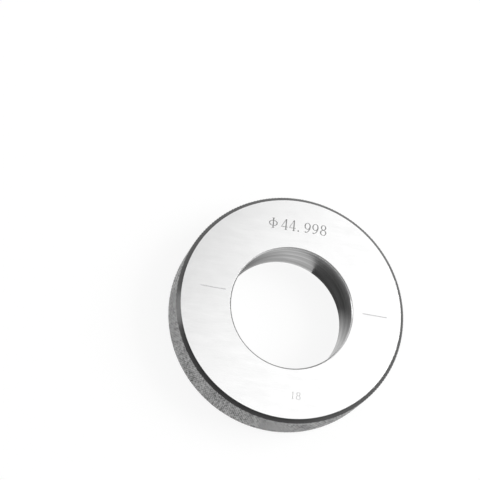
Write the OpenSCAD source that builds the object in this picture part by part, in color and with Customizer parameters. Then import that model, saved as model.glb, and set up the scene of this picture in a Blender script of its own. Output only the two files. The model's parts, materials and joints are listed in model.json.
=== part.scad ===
// Plain setting ring gauge: a steel master ring with a lapped through bore,
// two ground faces and a diamond-knurled grip round its rim.
// It lies on its lower face, with Z up the axis of the bore.
// X runs along the two scribed measuring lines on the upper face.

/* [Gauge body] */
// Diameter of the lapped bore, which is the size that the ring sets
bore_d = 44.998; // [38:0.001:54]
// Outside diameter over the crests of the knurl
outer_d = 85; // [70:1:102]
// Thickness between the two ground faces
ring_h = 18; // [12:0.5:22]

/* [Edges] */
// Width of the 45 degree bevel round the rim of each face
rim_bevel = 1.5; // [1:0.1:3]
// Width of the 45 degree chamfer at each mouth of the bore
mouth_chamfer = 0.5; // [0.2:0.1:1.5]

/* [Knurled grip] */
// Spacing of the diamonds round the rim
knurl_pitch = 1.35; // [1.3:0.05:3]
// Angle between the grooves and the axis of the ring
knurl_angle = 26; // [20:1:32]
// Depth of the grooves below the crests
knurl_depth = 0.35; // [0.1:0.05:0.6]

/* [Measuring lines] */
// Distance between the mouth of the bore and the near end of each line
line_bore_gap = 2.7; // [1:0.1:4]
// Distance between the far end of each line and the bevel
line_rim_gap = 5.9; // [1:0.1:6]
// How far the pair is set off towards +X
line_shift = 0.7; // [0:0.1:2]
// How far the pair is set off from the diameter towards +Y
line_offset = 2.5; // [0:0.1:5]
// Width of the scribed groove
line_w = 0.2; // [0.1:0.05:0.5]
// Depth of the scribed groove
line_depth = 0.05; // [0.02:0.01:0.2]

/* [Hidden] */
$fn = 180;

steel = [0.8, 0.81, 0.82];

// How far a cutting shape runs past what it trims, so that no two surfaces just touch
overrun = 0.05;

// How far the bevels of the stock run on past the crests, so that only they trim the knurl
stock_run = 0.5;

// Height over width of the tapers beyond the knurl, steeper than the bevels to stay clear of them
taper_slope = 1.2;

bore_r = bore_d / 2;
crest_r = outer_d / 2;
root_r = crest_r - knurl_depth;
face_r = crest_r - rim_bevel;
mouth_r = bore_r + mouth_chamfer;
stock_r = crest_r + stock_run;
stock_bevel = rim_bevel + stock_run;

// Each measuring line takes up what its two gaps leave of the face
line_start = mouth_r + line_bore_gap;
line_end = face_r - line_rim_gap;

// The grooves run out through both bevels, so the knurl starts and ends inside them
knurl_z = rim_bevel - knurl_depth - overrun;
knurl_h = ring_h - 2 * knurl_z;

// A whole and even number of diamonds goes round the rim, and whole half-diamonds go across it
half_diamond = knurl_pitch / 2 / tan(knurl_angle);
columns = 2 * round(PI * outer_d / knurl_pitch / 2);
rows = max(2, round(knurl_h / half_diamond));

// Points stand at half a diamond's width, alternately on a crest and where two grooves cross
places = 2 * columns;
function is_crest(place, row) = (place + row) % 2 == 1;

function knurl_point(place, row) =
    let (r = is_crest(place, row) ? crest_r : root_r)
    let (a = 360 * place / places)
    [r * cos(a), r * sin(a), knurl_z + knurl_h * row / rows];

// Index of a point in the list, going round the rim and then up it
function index(place, row) = row * places + place % places;

// Two facets of the patch between four points, folded along the groove that crosses it
function facets(place, row) =
    let (a = index(place, row))
    let (b = index(place + 1, row))
    let (c = index(place + 1, row + 1))
    let (d = index(place, row + 1))
    is_crest(place, row) ? [[a, d, b], [b, d, c]] : [[a, c, b], [a, d, c]];

// Bar with a diamond knurl, which tapers off below and above to two points clear of the stock
module knurled_bar() {
    taper_h = taper_slope * crest_r;
    tips = [[0, 0, knurl_z - taper_h], [0, 0, knurl_z + knurl_h + taper_h]];
    points = [for (row = [0:rows], place = [0:places - 1]) knurl_point(place, row)];
    low_tip = len(points);
    high_tip = low_tip + 1;

    grip = [for (row = [0:rows - 1], place = [0:places - 1]) each facets(place, row)];
    low_taper = [for (place = [0:places - 1]) [index(place, 0), index(place + 1, 0), low_tip]];
    high_taper = [for (place = [0:places - 1]) [index(place + 1, rows), index(place, rows), high_tip]];

    polyhedron(concat(points, tips), concat(grip, low_taper, high_taper));
}

// Turned and ground stock: the bore with its chamfered mouths, both faces and both bevels
module turned_stock() {
    rotate_extrude()
    polygon([
        [mouth_r, 0],
        [face_r, 0],
        [stock_r, stock_bevel],
        [stock_r, ring_h - stock_bevel],
        [face_r, ring_h],
        [mouth_r, ring_h],
        [bore_r, ring_h - mouth_chamfer],
        [bore_r, mouth_chamfer]
    ]);
}

// Pair of fine grooves in the upper face, which mark the diameter that was measured
module measuring_lines() {
    for (side = [0, 1])
        translate([line_shift, line_offset, ring_h])
        mirror([side, 0, 0])
        translate([line_start, -line_w / 2, -line_depth])
        cube([line_end - line_start, line_w, 2 * line_depth]);
}

module gauge_ring() {
    color(steel)
    difference() {
        intersection() {
            turned_stock();
            knurled_bar();
        }
        measuring_lines();
    }
}

gauge_ring();
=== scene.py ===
"""Plain setting ring gauge: one closed steel ring with a lapped bore, two ground faces, turned bevels painted
dark as shade, a diamond-knurled grip with painted shade in its grooves and its size engraved, with its
finishes, a pale floor, soft lights and two cards that paint dark reflections into the bore."""

import json
import math
import random

import bmesh
import bpy
from bpy.props import FloatProperty, FloatVectorProperty, IntProperty, PointerProperty, StringProperty
from mathutils import Matrix, Vector
from mathutils.geometry import delaunay_2d_cdt


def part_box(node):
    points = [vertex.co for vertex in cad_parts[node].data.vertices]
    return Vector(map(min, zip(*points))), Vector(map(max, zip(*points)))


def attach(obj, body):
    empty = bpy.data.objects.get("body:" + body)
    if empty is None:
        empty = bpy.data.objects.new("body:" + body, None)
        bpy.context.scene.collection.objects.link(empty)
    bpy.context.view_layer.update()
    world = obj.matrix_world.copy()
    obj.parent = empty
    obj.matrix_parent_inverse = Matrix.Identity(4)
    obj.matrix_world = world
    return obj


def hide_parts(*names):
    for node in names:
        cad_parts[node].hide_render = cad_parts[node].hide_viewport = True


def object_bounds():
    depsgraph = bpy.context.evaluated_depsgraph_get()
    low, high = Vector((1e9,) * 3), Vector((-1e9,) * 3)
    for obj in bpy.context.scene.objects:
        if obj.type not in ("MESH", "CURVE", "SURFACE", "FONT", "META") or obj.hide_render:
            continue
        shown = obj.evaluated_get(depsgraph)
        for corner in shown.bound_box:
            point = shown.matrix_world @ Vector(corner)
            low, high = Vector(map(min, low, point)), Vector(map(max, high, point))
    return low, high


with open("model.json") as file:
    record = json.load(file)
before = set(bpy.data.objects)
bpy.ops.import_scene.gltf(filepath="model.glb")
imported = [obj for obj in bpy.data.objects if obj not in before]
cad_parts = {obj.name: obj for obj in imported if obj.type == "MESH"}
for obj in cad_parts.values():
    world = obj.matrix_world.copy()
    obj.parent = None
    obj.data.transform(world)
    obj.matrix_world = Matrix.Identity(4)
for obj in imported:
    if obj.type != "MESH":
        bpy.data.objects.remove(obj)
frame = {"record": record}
CAD_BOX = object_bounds()

bl_info = {
    "name": "Setting ring gauge",
    "version": (1, 0, 0),
    "blender": (4, 5, 0),
    "location": "View3D > Sidebar > Ring gauge",
    "description": "Builds a knurled steel setting ring, its finishes and a plain studio round it",
    "category": "Add Mesh",
}

MM = 0.001
NODE = "gauge_ring"
NODE_LOW, NODE_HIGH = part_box(NODE)
BORE_MOUNT = next(mount for mount in frame["record"]["mounts"] if mount["kind"] == "bore")
FINISHES = (
    "ground_face",
    "turned_bevel",
    "knurled_grip",
    "lapped_bore",
    "mouth_chamfer",
    "stoned_edge",
    "engraved_figure",
    "scribed_line",
)
FACE, BEVEL, GRIP, BORE, CHAMFER, EDGE, FIGURE, LINE = range(len(FINISHES))
WHITE = (1.0, 1.0, 1.0)

# Straight steps that round one corner of the turned section
FILLET_STEPS = 4
# How far up a bevel the turned section reaches, as a share of its width, short of the knurl's ragged edge
LIP_SHARE = 0.6
# Two faces that meet at more than this angle show a sharp edge
SHARP_ANGLE = math.radians(22)
# How far the upright part of a face's normal may fall short of 1 where the face counts as level
LEVEL_TOLERANCE = 1e-6
# Distance, in metres, within which the cut of a bevel runs through a vertex of the grip
CUT_TOLERANCE = 1e-9
# Distance, in metres, within which two vertices of the grip become one
MERGE_DISTANCE = 2e-7
# Distance, in metres, within which two corners of the outlines on the face become one
OUTLINE_TOLERANCE = 1e-8
# Kind of fill that gives triangles over the whole hull of its points
HULL_TRIANGLES = 0

# Widths of the signs that are engraved, from one to the next, as shares of their height
DIAMETER_ADVANCE = 1.19
FIGURE_ADVANCE = 0.76
POINT_ADVANCE = 0.67

# Sockets of a Mix node that mixes colours
MIX_FACTOR = 0
MIX_FIRST = 6
MIX_SECOND = 7
MIX_RESULT = 2

# Heights in the room, from 0 at the horizon to 1 overhead, at which wall and ceiling reach their full light
WALL_RISE = 0.37
CEILING_RISE = 0.9

# Radius of the floor, in metres, and the straight steps round it
FLOOR_RADIUS = 6.0
FLOOR_SEGMENTS = 96
# How far the floor lies below the ring, so that their faces don't share a plane
FLOOR_DROP = 0.1 * MM
# Straight steps of a card, from its start to its end
CARD_STEPS = 24
# Width of the camera's sensor, in millimetres
SENSOR_WIDTH = 36.0


# Settings


class BodySettings(bpy.types.PropertyGroup):
    """Sizes of the turned and ground body"""

    bore_diameter: FloatProperty(
        name="Bore diameter",
        description="Diameter of the lapped bore, which is the size that the ring sets",
        default=2 * MM * BORE_MOUNT["dims"]["r_mm"],
        precision=6,
        unit="LENGTH",
    )
    outside_diameter: FloatProperty(
        name="Outside diameter",
        description="Diameter over the crests of the knurl",
        default=NODE_HIGH.x - NODE_LOW.x,
        unit="LENGTH",
    )
    thickness: FloatProperty(
        name="Thickness",
        description="Distance between the two ground faces",
        default=NODE_HIGH.z - NODE_LOW.z,
        unit="LENGTH",
    )
    rim_bevel: FloatProperty(
        name="Rim bevel",
        description="Width of the 45 degree bevel round the rim of each face",
        default=1.5 * MM,
        unit="LENGTH",
    )
    mouth_chamfer: FloatProperty(
        name="Mouth chamfer",
        description="Width of the 45 degree chamfer at each mouth of the bore",
        default=0.5 * MM,
        unit="LENGTH",
    )
    edge_round: FloatProperty(
        name="Edge rounding",
        description="Radius to which the stone leaves the outer edge of each face",
        default=0.06 * MM,
        unit="LENGTH",
    )
    mouth_round: FloatProperty(
        name="Mouth rounding",
        description="Radius to which the lap leaves both edges of each mouth chamfer",
        default=0.12 * MM,
        unit="LENGTH",
    )
    segments: IntProperty(
        name="Segments",
        description="Straight steps round every turned circle",
        default=480,
        min=48,
    )


class KnurlSettings(bpy.types.PropertyGroup):
    """Diamond knurl of the grip"""

    diamonds: IntProperty(
        name="Diamonds",
        description="How many diamonds go once round the rim",
        default=230,
        min=12,
    )
    lean: FloatProperty(
        name="Lean",
        description="Angle between the grooves and the axis of the ring",
        default=math.radians(26),
        subtype="ANGLE",
    )
    depth: FloatProperty(
        name="Depth",
        description="Depth of the grooves below the crests",
        default=0.25 * MM,
        unit="LENGTH",
    )
    floor_share: FloatProperty(
        name="Floor share",
        description="Half the width of a groove's floor, as a share of the spacing",
        default=0.06,
        subtype="FACTOR",
    )
    crest_share: FloatProperty(
        name="Crest share",
        description="How far from a groove the flat crest of a diamond starts, as a share of the spacing",
        default=0.27,
        subtype="FACTOR",
    )
    unevenness: FloatProperty(
        name="Unevenness",
        description="How much the depth and place of one groove differ from the next",
        default=0.3,
        subtype="FACTOR",
    )
    seed: IntProperty(
        name="Seed",
        description="Start of the random draws for the uneven grooves",
        default=7,
    )


class MarkSettings(bpy.types.PropertyGroup):
    """Engraved size and measuring lines of the upper face"""

    size_text: StringProperty(
        name="Size",
        description="Bore size in millimetres after the diameter sign O; it may use 1, 4, 8, 9 and a point",
        default="O44.998",
    )
    size_height: FloatProperty(
        name="Size height",
        description="Height of the figures of the size",
        default=3.93 * MM,
        unit="LENGTH",
    )
    size_weight: FloatProperty(
        name="Size weight",
        description="Stroke width of the size, as a share of that of a plain figure",
        default=1.0,
        subtype="FACTOR",
    )
    size_place: FloatVectorProperty(
        name="Size place",
        description="Where the line of figures starts, along and across the measuring lines",
        default=(-11.95 * MM, 28.9 * MM),
        size=2,
        unit="LENGTH",
    )
    slope: FloatProperty(
        name="Slope",
        description="How far the figures turn from the measuring lines",
        default=math.radians(1.6),
        subtype="ANGLE",
    )
    code_text: StringProperty(
        name="Plain number",
        description="Faint plain number at the foot of the face",
        default="18",
    )
    code_height: FloatProperty(
        name="Plain number height",
        description="Height of the faint figures",
        default=2.65 * MM,
        unit="LENGTH",
    )
    code_weight: FloatProperty(
        name="Plain number weight",
        description="Stroke width of the faint figures, as a share of that of a plain figure",
        default=0.62,
        subtype="FACTOR",
    )
    code_place: FloatVectorProperty(
        name="Plain number place",
        description="Where the faint figures start",
        default=(2.95 * MM, -33.55 * MM),
        size=2,
        unit="LENGTH",
    )
    depth: FloatProperty(
        name="Depth",
        description="Depth of the figures and lines below the face",
        default=0.05 * MM,
        unit="LENGTH",
    )
    line_bore_gap: FloatProperty(
        name="Line to bore",
        description="Distance between the mouth of the bore and the near end of each line",
        default=2.7 * MM,
        unit="LENGTH",
    )
    line_rim_gap: FloatProperty(
        name="Line to bevel",
        description="Distance between the far end of each line and the bevel",
        default=5.9 * MM,
        unit="LENGTH",
    )
    line_centre: FloatVectorProperty(
        name="Line centre",
        description="Middle of the pair of lines, which is set off from the middle of the ring",
        default=(0.7 * MM, 2.5 * MM),
        size=2,
        unit="LENGTH",
    )
    line_width: FloatProperty(
        name="Line width",
        description="Width of each scribed line at its middle",
        default=0.4 * MM,
        unit="LENGTH",
    )


class FinishSettings(bpy.types.PropertyGroup):
    """Colours of the steel"""

    face_colour: FloatVectorProperty(
        name="Ground face",
        description="Colour of the ground faces",
        default=(0.865, 0.865, 0.865),
        size=3,
        subtype="COLOR",
    )
    # Painted shade: the bevels' dark colour stands in for the dark room that turned steel would mirror
    bevel_painted_shade_colour: FloatVectorProperty(
        name="Turned bevel",
        description="Colour of the dark bevels, as turned",
        default=(0.115, 0.115, 0.115),
        size=3,
        subtype="COLOR",
    )
    crest_colour: FloatVectorProperty(
        name="Knurl crest",
        description="Colour of the worn crests of the knurl",
        default=(0.78, 0.78, 0.78),
        size=3,
        subtype="COLOR",
    )
    # Painted shade: the dark end of the grip's colour, reached at the floors of the grooves and in the dirt
    # blots
    groove_shade_and_dirt_colour: FloatVectorProperty(
        name="Knurl groove",
        description="Colour of the dark grooves of the knurl",
        default=(0.04, 0.04, 0.04),
        size=3,
        subtype="COLOR",
    )
    bore_colour: FloatVectorProperty(
        name="Lapped bore",
        description="Colour of the lapped bore",
        default=(0.4, 0.4, 0.4),
        size=3,
        subtype="COLOR",
    )
    chamfer_colour: FloatVectorProperty(
        name="Mouth chamfer",
        description="Colour of the chamfers at the mouths of the bore and of their stoned edges",
        default=(0.88, 0.88, 0.88),
        size=3,
        subtype="COLOR",
    )
    figure_colour: FloatVectorProperty(
        name="Engraved figure",
        description="Colour of the floor of the engraved figures",
        default=(0.3, 0.3, 0.3),
        size=3,
        subtype="COLOR",
    )
    line_colour: FloatVectorProperty(
        name="Scribed line",
        description="Colour of the floor of the two measuring lines",
        default=(0.68, 0.68, 0.68),
        size=3,
        subtype="COLOR",
    )


class StudioSettings(bpy.types.PropertyGroup):
    """Camera, floor, lights and the cards that paint dark reflections into the bore"""

    azimuth: FloatProperty(
        name="Camera azimuth",
        description="Direction that the camera looks from, turned from -Y towards +X",
        default=math.radians(-27.61),
        subtype="ANGLE",
    )
    elevation: FloatProperty(
        name="Camera elevation",
        description="Height of the camera above the horizon",
        default=math.radians(68.3),
        subtype="ANGLE",
    )
    roll: FloatProperty(
        name="Camera roll",
        description="Turn of the camera about its own line of sight",
        default=math.radians(36.27),
        subtype="ANGLE",
    )
    distance: FloatProperty(
        name="Camera distance",
        description="Distance between the camera and the middle of the ring",
        default=702.8 * MM,
        unit="LENGTH",
    )
    lens: FloatProperty(
        name="Focal length",
        description="Focal length in millimetres on the 36 mm sensor",
        default=143.96,
        unit="CAMERA",
    )
    centre_pixel: FloatVectorProperty(
        name="Ring centre in the frame",
        description="Pixel at which the middle of the ring stands, in a square frame",
        default=(285.53, 313.74),
        size=2,
    )
    frame_pixels: IntProperty(
        name="Frame",
        description="Pixels along one side of the square frame",
        default=480,
        subtype="PIXEL",
    )
    # Painted reflection: the two cards lie on the floor of the bore, are seen only in the steel and glow
    # faintly at this tone, so that the bore wall mirrors dark where the floor is white
    painted_reflection_tone: FloatProperty(
        name="Card tone",
        description="Brightness of the two cards that stand for dark surroundings in the bore",
        default=0.1,
    )
    card_width: FloatProperty(
        name="Card width",
        description="Width of the cards, inwards from the bore",
        default=13 * MM,
        unit="LENGTH",
    )
    flag_start: FloatProperty(
        name="Flag start",
        description="Where the dark card starts, turned from the measuring lines",
        default=math.radians(-10),
        subtype="ANGLE",
    )
    flag_fade: FloatProperty(
        name="Flag fade",
        description="Over how wide a turn the dark card grows from clear to full",
        default=math.radians(32),
        subtype="ANGLE",
    )
    flag_end: FloatVectorProperty(
        name="Flag end",
        description="Where the dark card ends, at its inner edge and at the bore",
        default=(math.radians(72), math.radians(64.5)),
        size=2,
        unit="ROTATION",
    )
    veil_span: FloatVectorProperty(
        name="Veil span",
        description="Where the faint card starts and where it is at its full share",
        default=(math.radians(85), math.radians(125)),
        size=2,
        unit="ROTATION",
    )
    veil_share: FloatProperty(
        name="Veil share",
        description="How much of the floor the faint card hides at its end",
        default=0.9,
        subtype="FACTOR",
    )
    veil_rim_fade: FloatProperty(
        name="Veil rim fade",
        description="Over how wide a strip the faint card grows from clear at the bore",
        default=1.2 * MM,
        unit="LENGTH",
    )
    floor_colour: FloatVectorProperty(
        name="Floor",
        description="Colour of the plain floor",
        default=(0.98, 0.98, 0.98),
        size=3,
        subtype="COLOR",
    )
    floor_glow: FloatProperty(
        name="Floor glow",
        description="Brightness of the floor's own light, where 1 is white",
        default=1.04,
    )
    glow_share: FloatProperty(
        name="Glow share",
        description="How much of the floor glows to the camera and in the steel; the rest keeps the shadow",
        default=0.85,
        subtype="FACTOR",
    )
    sweep_level: FloatProperty(
        name="Sweep light",
        description="Brightness of the room at the horizon, where the white floor sweeps up",
        default=1.1,
    )
    wall_level: FloatProperty(
        name="Wall light",
        description="Brightness of the room above the sweep",
        default=0.16,
    )
    ceiling_level: FloatProperty(
        name="Ceiling light",
        description="Brightness of the room overhead",
        default=0.5,
    )


class GaugeSettings(bpy.types.PropertyGroup):
    """All settings of the ring gauge and its studio"""

    body: PointerProperty(type=BodySettings)
    knurl: PointerProperty(type=KnurlSettings)
    marks: PointerProperty(type=MarkSettings)
    finish: PointerProperty(type=FinishSettings)
    studio: PointerProperty(type=StudioSettings)


# Turned body


def filleted(corners, radii, steps):
    """Rounds the inner corners of an open line.

    Returns its points and, for each step between them, the numbers of its straight and of its corner, one of
    which is None.
    """
    points = [corners[0]]
    stretches = []
    for number, radius in enumerate(radii, start=1):
        before, corner, after = (Vector(corners[number + shift]) for shift in (-1, 0, 1))
        arriving = (corner - before).normalized()
        leaving = (after - corner).normalized()
        turn = arriving.angle_signed(leaving)
        reach = radius * math.tan(abs(turn) / 2)
        start = corner - arriving * reach
        side = Vector((-arriving.y, arriving.x)) * (-1 if turn > 0 else 1)
        centre = start + side * radius
        stretches.append((number - 1, None))
        for step in range(steps + 1):
            spoke = Matrix.Rotation(-turn * step / steps, 2) @ (start - centre)
            points.append(tuple(centre + spoke))
        stretches.extend([(None, number - 1)] * steps)
    points.append(corners[-1])
    stretches.append((len(corners) - 2, None))
    return points, stretches


def circle(mesh, radius, height, segments):
    """Ring of vertices, counted from +X."""
    steps = (2 * math.pi * number / segments for number in range(segments))
    return [mesh.verts.new((radius * math.cos(turn), radius * math.sin(turn), height)) for turn in steps]


def new_face(mesh, corners, finish):
    face = mesh.faces.new(corners)
    face.material_index = finish
    face.smooth = True


def turned_rows(mesh, body):
    """Revolves the section, all but the marked upper face; returns its circles by name."""
    face_r = body.outside_diameter / 2 - body.rim_bevel
    bore_r = body.bore_diameter / 2
    mouth_r = bore_r + body.mouth_chamfer
    top = body.thickness
    lip = LIP_SHARE * body.rim_bevel
    corners = [
        (face_r + lip, lip),
        (face_r, 0),
        (mouth_r, 0),
        (bore_r, body.mouth_chamfer),
        (bore_r, top - body.mouth_chamfer),
        (mouth_r, top),
        (face_r, top),
        (face_r + lip, top - lip),
    ]
    finishes = [BEVEL, FACE, CHAMFER, BORE, CHAMFER, None, BEVEL]
    # Each corner between two straights has a radius and a finish of its own
    face_edge = (body.edge_round, FACE)
    mouth_edge = (body.mouth_round, EDGE)
    rounds = [face_edge, mouth_edge, mouth_edge, mouth_edge, mouth_edge, face_edge]
    points, stretches = filleted(corners, [radius for radius, _ in rounds], FILLET_STEPS)
    circles = [circle(mesh, radius, height, body.segments) for radius, height in points]
    named = {"lower_lip": circles[0], "upper_lip": circles[-1]}
    for first, second, (straight, corner) in zip(circles, circles[1:], stretches):
        finish = finishes[straight] if corner is None else rounds[corner][1]
        if finish is None:
            named["inner"], named["outer"] = first, second
            continue
        for number in range(body.segments):
            after = (number + 1) % body.segments
            new_face(mesh, (first[number], first[after], second[after], second[number]), finish)
    return named


# Knurled grip


def knurl_sheet(mesh, body, knurl):
    """Two hands of grooves in the rim, cut off by both bevels, as one band round the ring."""
    crest_r = body.outside_diameter / 2
    face_r = crest_r - body.rim_bevel
    width = 2 * math.pi * crest_r / knurl.diamonds
    height = width / math.tan(knurl.lean)
    samples = (knurl.floor_share, knurl.crest_share, 1 - knurl.crest_share, 1 - knurl.floor_share)
    count = len(samples)
    draws = random.Random(knurl.seed)

    def uneven():
        """Depth of one groove and its shift sideways, as shares of the full depth and of the spacing."""
        depth = 1 - knurl.unevenness * draws.random()
        shift = knurl.floor_share * draws.uniform(-0.5, 0.5)
        return depth, shift

    hands = [[uneven() for _ in range(knurl.diamonds)] for _ in range(2)]

    def groove(place, hand):
        """Position across the grooves of one hand, and the depth there."""
        whole, sample = divmod(place, count)
        depth, shift = hands[hand][(whole + (sample >= count / 2)) % knurl.diamonds]
        return whole + samples[sample] + shift, depth if sample in (0, count - 1) else 0

    def vertex(place, level):
        """The band is built flat, as (run round the rim, height, radius), and rolled up after it is cut."""
        right, right_depth = groove(place, 0)
        left, left_depth = groove(place - level, 1)
        run = (right + left) / 2 * width
        rise = body.thickness / 2 + (right - left) / 2 * height
        return mesh.verts.new((run, rise, crest_r - knurl.depth * max(right_depth, left_depth)))

    # The grid runs up and down from the middle of the rim until both bevels cut it off
    half_band = body.thickness / 2 - body.rim_bevel + 2 * knurl.depth
    reach = math.ceil(2 * count * half_band / height) + 1
    grid = {
        (place, level): vertex(place, level)
        for place in range(count * knurl.diamonds + 1)
        for level in range(-reach, reach + 1)
    }
    for place in range(count * knurl.diamonds):
        for level in range(-reach + 1, reach):
            near = grid[place, level]
            right = grid[place + 1, level + 1]
            far = grid[place + 1, level]
            left = grid[place, level - 1]
            column, row = place % count, (place - level) % count
            if column % 2 or row % 2:
                new_face(mesh, (near, right, far, left), GRIP)
            elif column == row:
                new_face(mesh, (near, right, far), GRIP)
                new_face(mesh, (near, far, left), GRIP)
            else:
                new_face(mesh, (near, right, left), GRIP)
                new_face(mesh, (right, far, left), GRIP)

    for foot, slope in ((0, -1), (body.thickness, 1)):
        bmesh.ops.bisect_plane(
            mesh,
            geom=mesh.verts[:] + mesh.edges[:] + mesh.faces[:],
            dist=CUT_TOLERANCE,
            plane_co=(0, foot, face_r),
            plane_no=(0, slope, 1),
            clear_outer=True,
        )
    for vert in mesh.verts:
        run, rise, radius = vert.co
        turn = run / crest_r
        vert.co = (radius * math.cos(turn), radius * math.sin(turn), rise)
    bmesh.ops.remove_doubles(mesh, verts=mesh.verts[:], dist=MERGE_DISTANCE)


def turn_of(vert):
    """Turn of a vertex about the axis of the ring, from +X."""
    return math.atan2(vert.co.y, vert.co.x) % (2 * math.pi)


def zip_loops(mesh, first, second, finish):
    """Strip of triangles between two loops round the axis."""
    loops = [sorted(loop, key=turn_of) for loop in (first, second)]
    turns = [[turn_of(vert) for vert in loop] for loop in loops]
    at = [0, 0]

    def turn_after(side):
        laps, number = divmod(at[side] + 1, len(loops[side]))
        return math.inf if at[side] == len(loops[side]) else turns[side][number] + 2 * math.pi * laps

    while any(at[side] < len(loops[side]) for side in (0, 1)):
        side = 0 if turn_after(0) <= turn_after(1) else 1
        here, across = (loops[which][at[which] % len(loops[which])] for which in (side, 1 - side))
        after = loops[side][(at[side] + 1) % len(loops[side])]
        new_face(mesh, (here, across, after), finish)
        at[side] += 1


# Engraved figures


def ribbon(line, widths):
    """Quads along a line of points, with a width at each point."""
    edges = []
    for number, (point, width) in enumerate(zip(line, widths)):
        before = Vector(line[max(number - 1, 0)])
        after = Vector(line[min(number + 1, len(line) - 1)])
        along = (after - before).normalized()
        across = Vector((-along.y, along.x)) * width / 2
        edges.append((Vector(point) - across, Vector(point) + across))
    return [
        [right, next_right, next_left, left]
        for (right, left), (next_right, next_left) in zip(edges, edges[1:])
    ]


def bar(start, end, width):
    """Straight stroke of one width."""
    return ribbon([start, end], [width, width])


def bowl(centre, reach, thick, thin, steps=28):
    """Oval ring, thick at its sides and thin above and below."""
    rims = []
    for step in range(steps + 1):
        turn = math.radians(360.0 * step / steps)
        spoke = Vector((math.cos(turn), math.sin(turn)))
        outer = Vector((spoke.x * reach[0], spoke.y * reach[1])) + Vector(centre)
        inner = Vector((spoke.x * (reach[0] - thick), spoke.y * (reach[1] - thin))) + Vector(centre)
        rims.append((inner, outer))
    return [
        [inner, outer, next_outer, next_inner]
        for (inner, outer), (next_inner, next_outer) in zip(rims, rims[1:])
    ]


def tapered_arc(centre, reach, turn, start_width, end_width, steps=10):
    """Stroke that bends down from the right of an oval and changes its width on the way."""
    line = []
    widths = []
    for step in range(steps + 1):
        part = math.radians(turn * step / steps)
        line.append((centre[0] + reach[0] * math.cos(part), centre[1] - reach[1] * math.sin(part)))
        widths.append(start_width - (start_width - end_width) * step / steps)
    return ribbon(line, widths)


def dot(centre, radius, steps=12):
    """Round spot."""
    turns = (2 * math.pi * step / steps for step in range(steps))
    return [[Vector(centre) + radius * Vector((math.cos(turn), math.sin(turn))) for turn in turns]]


def figure(sign, weight):
    """Outline parts of one figure in a seriffed hand, one unit high, and the advance to the next figure."""
    stem = 0.11 * weight
    hair = 0.05 * weight
    if sign == "O":
        oval = bowl((0.4, 0.49), (0.42, 0.28), stem, hair)
        stroke = bar((0.4, 0.0), (0.4, 1.0), stem)
        foot = bar((0.28, 0.02), (0.52, 0.02), hair)
        head = bar((0.28, 0.98), (0.52, 0.98), hair)
        return oval + stroke + foot + head, DIAMETER_ADVANCE
    if sign == "1":
        upright = bar((0.33, 0.02), (0.33, 0.99), stem)
        flick = bar((0.16, 0.84), (0.35, 0.97), hair)
        foot = bar((0.17, 0.02), (0.49, 0.02), hair)
        return upright + flick + foot, FIGURE_ADVANCE
    if sign == "4":
        upright = bar((0.44, 0.02), (0.44, 1.05), stem)
        slant = bar((0.42, 1.02), (0.02, 0.3), hair)
        arm = bar((0.0, 0.28), (0.62, 0.28), hair)
        foot = bar((0.32, 0.02), (0.56, 0.02), hair)
        return upright + slant + arm + foot, FIGURE_ADVANCE
    if sign == "8":
        upper = bowl((0.33, 0.76), (0.26, 0.25), stem, hair)
        lower = bowl((0.33, 0.26), (0.31, 0.27), stem, hair)
        return upper + lower, FIGURE_ADVANCE
    if sign == "9":
        head = bowl((0.31, 0.68), (0.3, 0.33), stem, hair)
        tail = tapered_arc((0.08, 0.68), (0.48, 0.66), 80, stem, hair)
        return head + tail + dot((0.13, 0.08), 0.6 * stem), FIGURE_ADVANCE
    if sign == ".":
        return dot((0.12, 0.06), 0.7 * stem), POINT_ADVANCE
    raise ValueError(f"no figure is drawn for {sign!r}")


def engraved(text, height, place, slope, weight):
    """Outline parts of a line of figures on the face, each with its finish."""
    turned = Matrix.Rotation(slope, 2)
    parts = []
    pen = 0.0
    for sign in text:
        outlines, advance = figure(sign, weight)
        for outline in outlines:
            points = [Vector(place) + turned @ Vector((point.x + pen, point.y)) * height for point in outline]
            parts.append((points, FIGURE))
        pen += advance
    return parts


def scribed(marks, body):
    """Outline parts of the two measuring lines, each with its finish.

    A line narrows to half its width over the last twentieth of its length at each end.
    """
    near = body.bore_diameter / 2 + body.mouth_chamfer + marks.line_bore_gap
    far = body.outside_diameter / 2 - body.rim_bevel - marks.line_rim_gap
    taper = (far - near) / 20
    tip = marks.line_width / 2
    parts = []
    for side in (-1, 1):
        stops = (near, near + taper, far - taper, far)
        line = [(marks.line_centre[0] + side * stop, marks.line_centre[1]) for stop in stops]
        outlines = ribbon(line, (tip, marks.line_width, marks.line_width, tip))
        parts += [(outline, LINE) for outline in outlines]
    return parts


def memo(make):
    """Keeps what make returns for each number."""
    kept = {}

    def recall(number):
        if number not in kept:
            kept[number] = make(number)
        return kept[number]

    return recall


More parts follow.
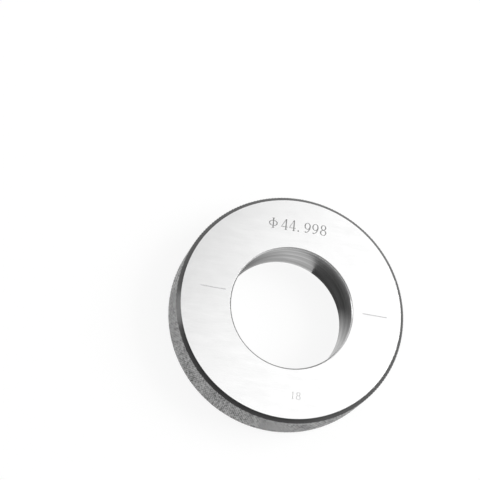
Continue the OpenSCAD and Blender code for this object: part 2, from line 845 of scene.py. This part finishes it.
def marked_face(mesh, outer, inner, parts, height, depth):
    """Fills the upper face between two circles, with the outlined marks sunk into it."""
    rims = outer + inner
    points = [vert.co.xy for vert in rims]
    outlines = [list(range(len(outer))), list(range(len(outer), len(points)))]
    finishes = [FACE, None]
    for part, finish in parts:
        area = sum(here.cross(after) for here, after in zip(part, part[1:] + part[:1]))
        corners = part if area > 0 else part[::-1]
        outlines.append(list(range(len(points), len(points) + len(corners))))
        points += corners
        finishes.append(finish)
    filled = delaunay_2d_cdt(points, [], outlines, HULL_TRIANGLES, OUTLINE_TOLERANCE)
    flat, _, triangles, sources, _, covers = filled

    @memo
    def upper(number):
        known = [source for source in sources[number] if source < len(rims)]
        return rims[known[0]] if known else mesh.verts.new((*flat[number], height))

    @memo
    def lower(number):
        return mesh.verts.new((*flat[number], height - depth))

    owners = {}
    for triangle, cover in zip(triangles, covers):
        if 0 not in cover or 1 in cover:
            continue
        finish = finishes[max(cover)]
        level = upper if finish == FACE else lower
        new_face(mesh, [level(number) for number in triangle], finish)
        for start, end in zip(triangle, triangle[1:] + triangle[:1]):
            owners[start, end] = finish
    for (start, end), finish in owners.items():
        if finish != FACE and owners.get((end, start)) == FACE:
            new_face(mesh, (upper(start), upper(end), lower(end), lower(start)), finish)


# Whole ring


def mark_sharp_edges(mesh, limit):
    """Sharp where two faces meet at more than the limit, or where a level face meets one that isn't."""
    for edge in mesh.edges:
        first, second = edge.link_faces
        level = [abs(face.normal.z) > 1 - LEVEL_TOLERANCE for face in (first, second)]
        edge.smooth = first.normal.angle(second.normal) < limit and level[0] == level[1]


def ring_mesh(body, knurl, marks):
    """The whole ring as one closed mesh."""
    mesh = bmesh.new()
    knurl_sheet(mesh, body, knurl)
    jagged = {vert for edge in mesh.edges if edge.is_boundary for vert in edge.verts}
    middle = body.thickness / 2
    rows = turned_rows(mesh, body)
    zip_loops(mesh, rows["lower_lip"], [vert for vert in jagged if vert.co.z < middle], BEVEL)
    zip_loops(mesh, rows["upper_lip"], [vert for vert in jagged if vert.co.z > middle], BEVEL)
    parts = scribed(marks, body)
    parts += engraved(marks.size_text, marks.size_height, marks.size_place, marks.slope, marks.size_weight)
    parts += engraved(marks.code_text, marks.code_height, marks.code_place, marks.slope, marks.code_weight)
    marked_face(mesh, rows["outer"], rows["inner"], parts, body.thickness, marks.depth)
    loose = [edge for edge in mesh.edges if len(edge.link_faces) != 2]
    if loose:
        raise RuntimeError(f"the ring is not closed: {len(loose)} edges don't join two faces")
    bmesh.ops.recalc_face_normals(mesh, faces=mesh.faces[:])
    mark_sharp_edges(mesh, SHARP_ANGLE)
    return mesh


# Shader graphs


class Value:
    """Output of a node; Python arithmetic on it adds Math nodes to its graph."""

    def __init__(self, graph, socket):
        self.graph = graph
        self.socket = socket

    def math(self, operation, *values):
        return self.graph.node("ShaderNodeMath", {"operation": operation}, dict(enumerate(values)))

    def __add__(self, other):
        return self.math("ADD", self, other)

    def __sub__(self, other):
        return self.math("SUBTRACT", self, other)

    def __rsub__(self, other):
        return self.math("SUBTRACT", other, self)

    def __mul__(self, other):
        return self.math("MULTIPLY", self, other)

    def __truediv__(self, other):
        return self.math("DIVIDE", self, other)

    def __rtruediv__(self, other):
        return self.math("DIVIDE", other, self)

    __radd__ = __add__
    __rmul__ = __mul__

    def root(self):
        return self.math("SQRT", self)

    def within(self, low, high):
        """0 at low, 1 at high, and held between them."""
        return self.graph.node("ShaderNodeMapRange", {}, {"Value": self, "From Min": low, "From Max": high})


class Graph:
    """Node graph of a finish or of the room."""

    def __init__(self, owner, output="ShaderNodeOutputMaterial"):
        self.owner = owner
        self.output = output
        owner.use_nodes = True
        self.tree = owner.node_tree
        self.tree.nodes.clear()

    def node(self, kind, settings=None, values=None, output=0):
        """Adds a node: its settings first, then the values or links of its sockets."""
        node = self.tree.nodes.new(kind)
        for name, setting in (settings or {}).items():
            setattr(node, name, setting)
        for name, value in (values or {}).items():
            socket = node.inputs[name]
            if isinstance(value, Value):
                self.tree.links.new(value.socket, socket)
            else:
                socket.default_value = value
        return Value(self, node.outputs[output]) if node.outputs else node

    def place(self):
        """Place on the object, in metres."""
        return self.node("ShaderNodeTexCoord", output="Object")

    def axes(self, vector):
        split = self.node("ShaderNodeSeparateXYZ", {}, {"Vector": vector})
        return [Value(self, output) for output in split.socket.node.outputs]

    def from_axis(self):
        """Distance of each point from the axis of the ring."""
        x, y, _ = self.axes(self.place())
        return (x * x + y * y).root()

    def about_axis(self):
        """Turn of each point about the axis of the ring, from +X."""
        x, y, _ = self.axes(self.place())
        return self.node("ShaderNodeMath", {"operation": "ARCTAN2"}, {0: y, 1: x})

    def stretched(self, vector, scale):
        """Place times a scale for each axis, which is about how many specks of noise go to a metre."""
        return self.node("ShaderNodeVectorMath", {"operation": "MULTIPLY"}, {0: vector, 1: scale})

    def noise(self, vector, scale=1.0, detail=2.0, roughness=0.5):
        values = {"Vector": vector, "Scale": scale, "Detail": detail, "Roughness": roughness}
        return self.node("ShaderNodeTexNoise", {}, values)

    def blend(self, factor, first, second):
        """Colour between two colours."""
        values = {MIX_FACTOR: factor, MIX_FIRST: first, MIX_SECOND: second}
        return self.node("ShaderNodeMix", {"data_type": "RGBA"}, values, output=MIX_RESULT)

    def mottled(self, factor, colour, low, high):
        """One colour that goes from a low to a high level of its own brightness."""
        return self.blend(factor, shade(colour, low), shade(colour, high))

    def bump(self, height, distance):
        return self.node("ShaderNodeBump", {}, {"Height": height, "Distance": distance})

    def glow(self, strength):
        """White light of its own."""
        return self.node("ShaderNodeEmission", {}, {"Color": shade(WHITE), "Strength": strength})

    def between(self, factor, first, second):
        """Shader between two shaders."""
        return self.node("ShaderNodeMixShader", {}, {0: factor, 1: first, 2: second})

    def steel(self, values):
        shader = self.node("ShaderNodeBsdfPrincipled", {}, {"Metallic": 1.0, **values})
        self.show(shader)

    def show(self, shader):
        self.node(self.output, {}, {"Surface": shader})


def shade(colour, level=1.0):
    """Colour times a level of brightness, with the opaque fourth channel that a socket wants."""
    return (*(channel * level for channel in colour), 1.0)


def ground_face(colours):
    """Fine straight lay of the surface grinder, with faint cloudy patches where the stone took more."""
    finish = Graph(bpy.data.materials.new(FINISHES[FACE]))
    place = finish.place()
    lay = finish.noise(finish.stretched(place, (110, 5200, 110)), detail=3.0)
    passes = finish.noise(finish.stretched(place, (90, 420, 90)), detail=3.0)
    cloud = finish.noise(place, scale=260, detail=4.0, roughness=0.6)
    relief = lay + passes + cloud
    finish.steel({
        "Base Color": finish.mottled((relief / 3).within(0.36, 0.64), colours.face_colour, 0.95, 1.03),
        "Roughness": 0.16 + 0.03 * lay + 0.05 * cloud,
        "Normal": finish.bump(relief, 0.2e-6),
    })
    return finish.owner


def turned_bevel(colours):
    """Bevel with the feed marks of the lathe running round it; its dark colour is painted shade, standing in
    for the dark room that the turned steel would mirror.
    """
    finish = Graph(bpy.data.materials.new(FINISHES[BEVEL]))
    place = finish.place()
    feed = finish.noise(finish.stretched(place, (36, 36, 12700)))
    cloud = finish.noise(place, scale=300, detail=3.0)
    finish.steel({
        # Painted shade: the bevel's dark colour, mottled by the feed marks
        "Base Color": finish.mottled((feed + cloud) / 2, colours.bevel_painted_shade_colour, 0.75, 1.25),
        "Roughness": 0.17 + 0.08 * cloud,
        "Normal": finish.bump(feed, 2e-6),
    })
    return finish.owner


def knurled_grip(colours, body, knurl):
    """Matt grip: painted shade darkens each groove towards its floor, so the worn crests are lighter; random
    blots and patches of dirt change its tone too.
    """
    finish = Graph(bpy.data.materials.new(FINISHES[GRIP]))
    place = finish.place()
    crest_r = body.outside_diameter / 2
    grain = finish.noise(place, scale=2600, detail=3.0, roughness=0.7)
    patches = finish.noise(place, scale=110).within(0.3, 0.7)
    blots = finish.noise(finish.stretched(place, (1250, 1250, 500)), detail=1.0).within(0.36, 0.64)
    # Painted shade: darker towards the floor of each groove, lighter at the worn crests
    crest_wear_and_groove_shade = finish.from_axis().within(crest_r - 0.55 * knurl.depth, crest_r - 0.03 * knurl.depth)
    tone = 0.28 * crest_wear_and_groove_shade + 0.35 * blots + 0.12 * patches + 0.1 * (grain - 0.5) + 0.01
    steel = finish.blend(tone.within(0.0, 1.0), shade(colours.groove_shade_and_dirt_colour), shade(colours.crest_colour))
    finish.steel({
        "Base Color": steel,
        "Metallic": 0.9,
        "Roughness": 0.42 + 0.2 * grain,
        "Normal": finish.bump(grain, 6e-6),
    })
    return finish.owner


def lapped_bore(colours):
    """Cross-hatched scratches of the lap, in soft bands that run round the bore.

    Each hand of scratches is noise on a place that is screwed about the axis, by so many radians to a metre
    of height, so that it has no seam.
    """
    finish = Graph(bpy.data.materials.new(FINISHES[BORE]))
    place = finish.place()
    height = finish.axes(place)[2]
    hatch = 0.0
    for screw in (-99, 99):
        values = {"Vector": place, "Angle": height * screw}
        screwed = finish.node("ShaderNodeVectorRotate", {"rotation_type": "Z_AXIS"}, values)
        hatch = hatch + finish.noise(finish.stretched(screwed, (2340, 2340, 390)))
    bands = finish.noise(finish.stretched(place, (30, 30, 520)), detail=3.0)
    finish.steel({
        "Base Color": finish.mottled(bands.within(0.34, 0.66), colours.bore_colour, 0.67, 1.33),
        "Roughness": 0.2 + 0.08 * hatch + 0.06 * bands,
        "Normal": finish.bump(hatch, 0.5e-6),
    })
    return finish.owner


def mouth_chamfer(colours):
    """Bright chamfer with the feed marks of the lathe."""
    finish = Graph(bpy.data.materials.new(FINISHES[CHAMFER]))
    feed = finish.noise(finish.stretched(finish.place(), (130, 130, 17000)))
    finish.steel({
        "Base Color": finish.mottled(feed, colours.chamfer_colour, 0.85, 1.1),
        "Roughness": 0.2 + 0.08 * feed,
        "Normal": finish.bump(feed, 1e-6),
    })
    return finish.owner


def stoned_edge(colours):
    """Satin edge of the chamfer, broken by hand with a stone."""
    finish = Graph(bpy.data.materials.new(FINISHES[EDGE]))
    strokes = finish.noise(finish.stretched(finish.place(), (1760, 1760, 4000)))
    finish.steel({
        "Base Color": finish.mottled(strokes, colours.chamfer_colour, 0.75, 0.95),
        "Roughness": 0.46 + 0.12 * strokes,
        "Normal": finish.bump(strokes, 1e-6),
    })
    return finish.owner


def cut_floor(name, colour):
    """Burnt, crumbly floor of an engraved figure or a scribed line."""
    finish = Graph(bpy.data.materials.new(name))
    grain = finish.noise(finish.place(), scale=9000, detail=3.0, roughness=0.7)
    finish.steel({
        "Base Color": finish.mottled(grain, colour, 0.6, 1.5),
        "Metallic": 0.3,
        "Roughness": 0.65 + 0.2 * grain,
        "Normal": finish.bump(grain, 8e-6),
    })
    return finish.owner


def plain_floor(studio):
    """White floor that keeps the ring's shadow; part of it glows white to the camera and in the steel."""
    finish = Graph(bpy.data.materials.new("plain_floor"))
    camera = finish.node("ShaderNodeLightPath", output="Is Camera Ray")
    mirror = finish.node("ShaderNodeLightPath", output="Is Glossy Ray")
    glass = finish.node("ShaderNodeLightPath", output="Is Transmission Ray")
    seen = camera + mirror + glass
    paper = finish.node("ShaderNodeBsdfDiffuse", {}, {"Color": shade(studio.floor_colour)})
    finish.show(finish.between(seen * studio.glow_share, paper, finish.glow(studio.floor_glow)))
    return finish.owner


# Operators


def mesh_object(scene, name, mesh):
    """Object of its own for a finished mesh, which is then freed."""
    data = bpy.data.meshes.new(name)
    mesh.to_mesh(data)
    mesh.free()
    shown = bpy.data.objects.new(name, data)
    scene.collection.objects.link(shown)
    return shown


class RING_OT_build(bpy.types.Operator):
    """Build the setting ring as one closed mesh, with its knurl, marks and finishes"""

    bl_idname = "ring_gauge.build"
    bl_label = "Build the ring"
    bl_options = {"REGISTER", "UNDO"}

    def execute(self, context):
        settings = context.scene.ring_gauge
        body = settings.body
        knurl = settings.knurl
        colours = settings.finish
        ring = mesh_object(context.scene, "setting_ring", ring_mesh(body, knurl, settings.marks))
        for finish in (
            ground_face(colours),
            turned_bevel(colours),
            knurled_grip(colours, body, knurl),
            lapped_bore(colours),
            mouth_chamfer(colours),
            stoned_edge(colours),
            cut_floor(FINISHES[FIGURE], colours.figure_colour),
            cut_floor(FINISHES[LINE], colours.line_colour),
        ):
            ring.data.materials.append(finish)
        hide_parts(NODE)
        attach(ring, "root")
        return {"FINISHED"}


def softbox(scene, name, place, size, radiance, turn=None):
    """Rectangular lamp of an even brightness: level overhead at a given turn, or else facing the ring."""
    lamp = bpy.data.lights.new(name, "AREA")
    lamp.shape = "RECTANGLE"
    lamp.size, lamp.size_y = size
    lamp.energy = radiance * math.pi * size[0] * size[1]
    holder = bpy.data.objects.new(name, lamp)
    holder.location = place
    if turn is None:
        holder.rotation_euler = (-Vector(place)).to_track_quat("-Z", "Y").to_euler()
    else:
        holder.rotation_euler.z = turn
    scene.collection.objects.link(holder)


class RING_OT_stage(bpy.types.Operator):
    """Lay the floor, hang the lights and set up the camera"""

    bl_idname = "ring_gauge.stage"
    bl_label = "Set the stage"
    bl_options = {"REGISTER", "UNDO"}

    def execute(self, context):
        scene = context.scene
        studio = scene.ring_gauge.studio
        self.lay_floor(scene, studio)
        self.lay_painted_reflections(scene, studio)
        self.set_lights(scene, studio)
        self.set_camera(scene, studio)
        scene.view_settings.view_transform = "Standard"
        return {"FINISHED"}

    def lay_floor(self, scene, studio):
        mesh = bmesh.new()
        bmesh.ops.create_circle(mesh, cap_ends=True, segments=FLOOR_SEGMENTS, radius=FLOOR_RADIUS)
        floor = mesh_object(scene, "floor", mesh)
        floor.data.materials.append(plain_floor(studio))
        floor.location.z = -FLOOR_DROP

    def lay_painted_reflections(self, scene, studio):
        """Two cards that paint dark reflections into the bore: they lie on its floor, are seen only in the
        steel and stand in for dark surroundings.
        """
        flag_start = studio.flag_start
        inner_end, outer_end = studio.flag_end
        flag_spans = ((flag_start, inner_end), (flag_start, outer_end))
        flag_full = flag_start + studio.flag_fade
        self.lay_painted_reflection(scene, studio, "painted_reflection_flag", flag_spans, flag_full, share=1.0, rim_fade=0.0)
        veil_start, veil_full = studio.veil_span
        veil_spans = ((veil_start, math.pi), (veil_start, math.pi))
        self.lay_painted_reflection(
            scene,
            studio,
            "painted_reflection_veil",
            veil_spans,
            veil_full,
            share=studio.veil_share,
            rim_fade=studio.veil_rim_fade,
        )

    def lay_painted_reflection(self, scene, studio, name, spans, full, share, rim_fade):
        """Flag on the floor of the bore, seen only by the steel, that paints a dark reflection there; it
        grows from clear to its share of dark.
        """
        reach = BORE_MOUNT["dims"]["r_mm"] * MM
        radii = (reach - studio.card_width, reach)
        mesh = bmesh.new()
        rims = []
        for step in range(CARD_STEPS + 1):
            rim = []
            for radius, (start, end) in zip(radii, spans):
                turn = start + (end - start) * step / CARD_STEPS
                rim.append(mesh.verts.new((radius * math.cos(turn), radius * math.sin(turn), 0)))
            rims.append(rim)
        for (inner, outer), (next_inner, next_outer) in zip(rims, rims[1:]):
            mesh.faces.new((inner, outer, next_outer, next_inner))
        card = Graph(bpy.data.materials.new(f"{name}_card"))
        # Painted reflection: how dark the card is, by its turn about the axis and, for the faint card, by its
        # distance from the bore
        dark = card.about_axis().within(spans[1][0], full) * share
        if rim_fade:
            dark = dark * card.from_axis().within(reach, reach - rim_fade)
        clear = card.node("ShaderNodeBsdfTransparent")
        card.show(card.between(dark, clear, card.glow(studio.painted_reflection_tone)))
        painted_reflection_flag = mesh_object(scene, name, mesh)
        painted_reflection_flag.data.materials.append(card.owner)
        # Seen only in reflections, so that the card paints a dark reflection and casts no shadow
        for ray in ("camera", "diffuse", "shadow", "transmission", "volume_scatter"):
            setattr(painted_reflection_flag, f"visible_{ray}", False)

    def set_lights(self, scene, studio):
        scene.world = bpy.data.worlds.new("room")
        room = Graph(scene.world, "ShaderNodeOutputWorld")
        rise = room.axes(room.node("ShaderNodeTexCoord", output="Generated"))[2]
        sweep = shade(WHITE, studio.sweep_level)
        wall = shade(WHITE, studio.wall_level)
        ceiling = shade(WHITE, studio.ceiling_level)
        low = room.blend(rise.within(0.0, WALL_RISE), sweep, wall)
        light = room.blend(rise.within(WALL_RISE, CEILING_RISE), low, ceiling)
        room.show(room.node("ShaderNodeBackground", {}, {"Color": light}))
        softbox(
            scene,
            "overhead",
            place=(0.629, 0.262, 1.3),
            size=(1.0, 1.2),
            radiance=0.68,
            turn=math.radians(-23),
        )
        softbox(scene, "key", place=(1.35, 0.35, 1.3), size=(1.1, 1.1), radiance=5.6)
        softbox(scene, "fill", place=(-1.2, 0.1, 0.3), size=(0.42, 0.22), radiance=1.7)

    def set_camera(self, scene, studio):
        azimuth = studio.azimuth
        elevation = studio.elevation
        back = Vector((
            math.sin(azimuth) * math.cos(elevation),
            -math.cos(azimuth) * math.cos(elevation),
            math.sin(elevation),
        ))
        level = Vector((math.cos(azimuth), math.sin(azimuth), 0.0))
        upright = back.cross(level)
        right = level * math.cos(studio.roll) + upright * math.sin(studio.roll)
        up = upright * math.cos(studio.roll) - level * math.sin(studio.roll)
        data = bpy.data.cameras.new("camera")
        data.lens = studio.lens
        data.sensor_width = SENSOR_WIDTH
        pixel = studio.distance * data.sensor_width / data.lens / studio.frame_pixels
        middle = (studio.frame_pixels - 1) / 2
        aside = (studio.centre_pixel[0] - middle) * pixel
        above = (middle - studio.centre_pixel[1]) * pixel
        ring_middle = (CAD_BOX[0] + CAD_BOX[1]) / 2
        place = ring_middle + back * studio.distance - right * aside - up * above
        turned = Matrix((right, up, back)).transposed().to_4x4()
        camera = bpy.data.objects.new("camera", data)
        camera.matrix_world = Matrix.Translation(place) @ turned
        scene.collection.objects.link(camera)
        scene.camera = camera


class RING_PT_panel(bpy.types.Panel):
    """Settings of the ring gauge and the steps that build it"""

    bl_idname = "RING_PT_panel"
    bl_label = "Ring gauge"
    bl_space_type = "VIEW_3D"
    bl_region_type = "UI"
    bl_category = "Ring gauge"

    def draw(self, context):
        settings = context.scene.ring_gauge
        for name in ("body", "knurl", "marks", "finish", "studio"):
            group = getattr(settings, name)
            box = self.layout.box()
            box.label(text=name.capitalize())
            for key in group.bl_rna.properties.keys():
                if key not in ("rna_type", "name"):
                    box.prop(group, key)
        self.layout.operator(RING_OT_build.bl_idname)
        self.layout.operator(RING_OT_stage.bl_idname)


CLASSES = (
    BodySettings,
    KnurlSettings,
    MarkSettings,
    FinishSettings,
    StudioSettings,
    GaugeSettings,
    RING_OT_build,
    RING_OT_stage,
    RING_PT_panel,
)


def register():
    for cls in CLASSES:
        bpy.utils.register_class(cls)
    bpy.types.Scene.ring_gauge = PointerProperty(type=GaugeSettings)


def unregister():
    del bpy.types.Scene.ring_gauge
    for cls in reversed(CLASSES):
        bpy.utils.unregister_class(cls)


def main():
    register()
    bpy.ops.ring_gauge.build()
    bpy.ops.ring_gauge.stage()


if __name__ == "__main__":
    main()
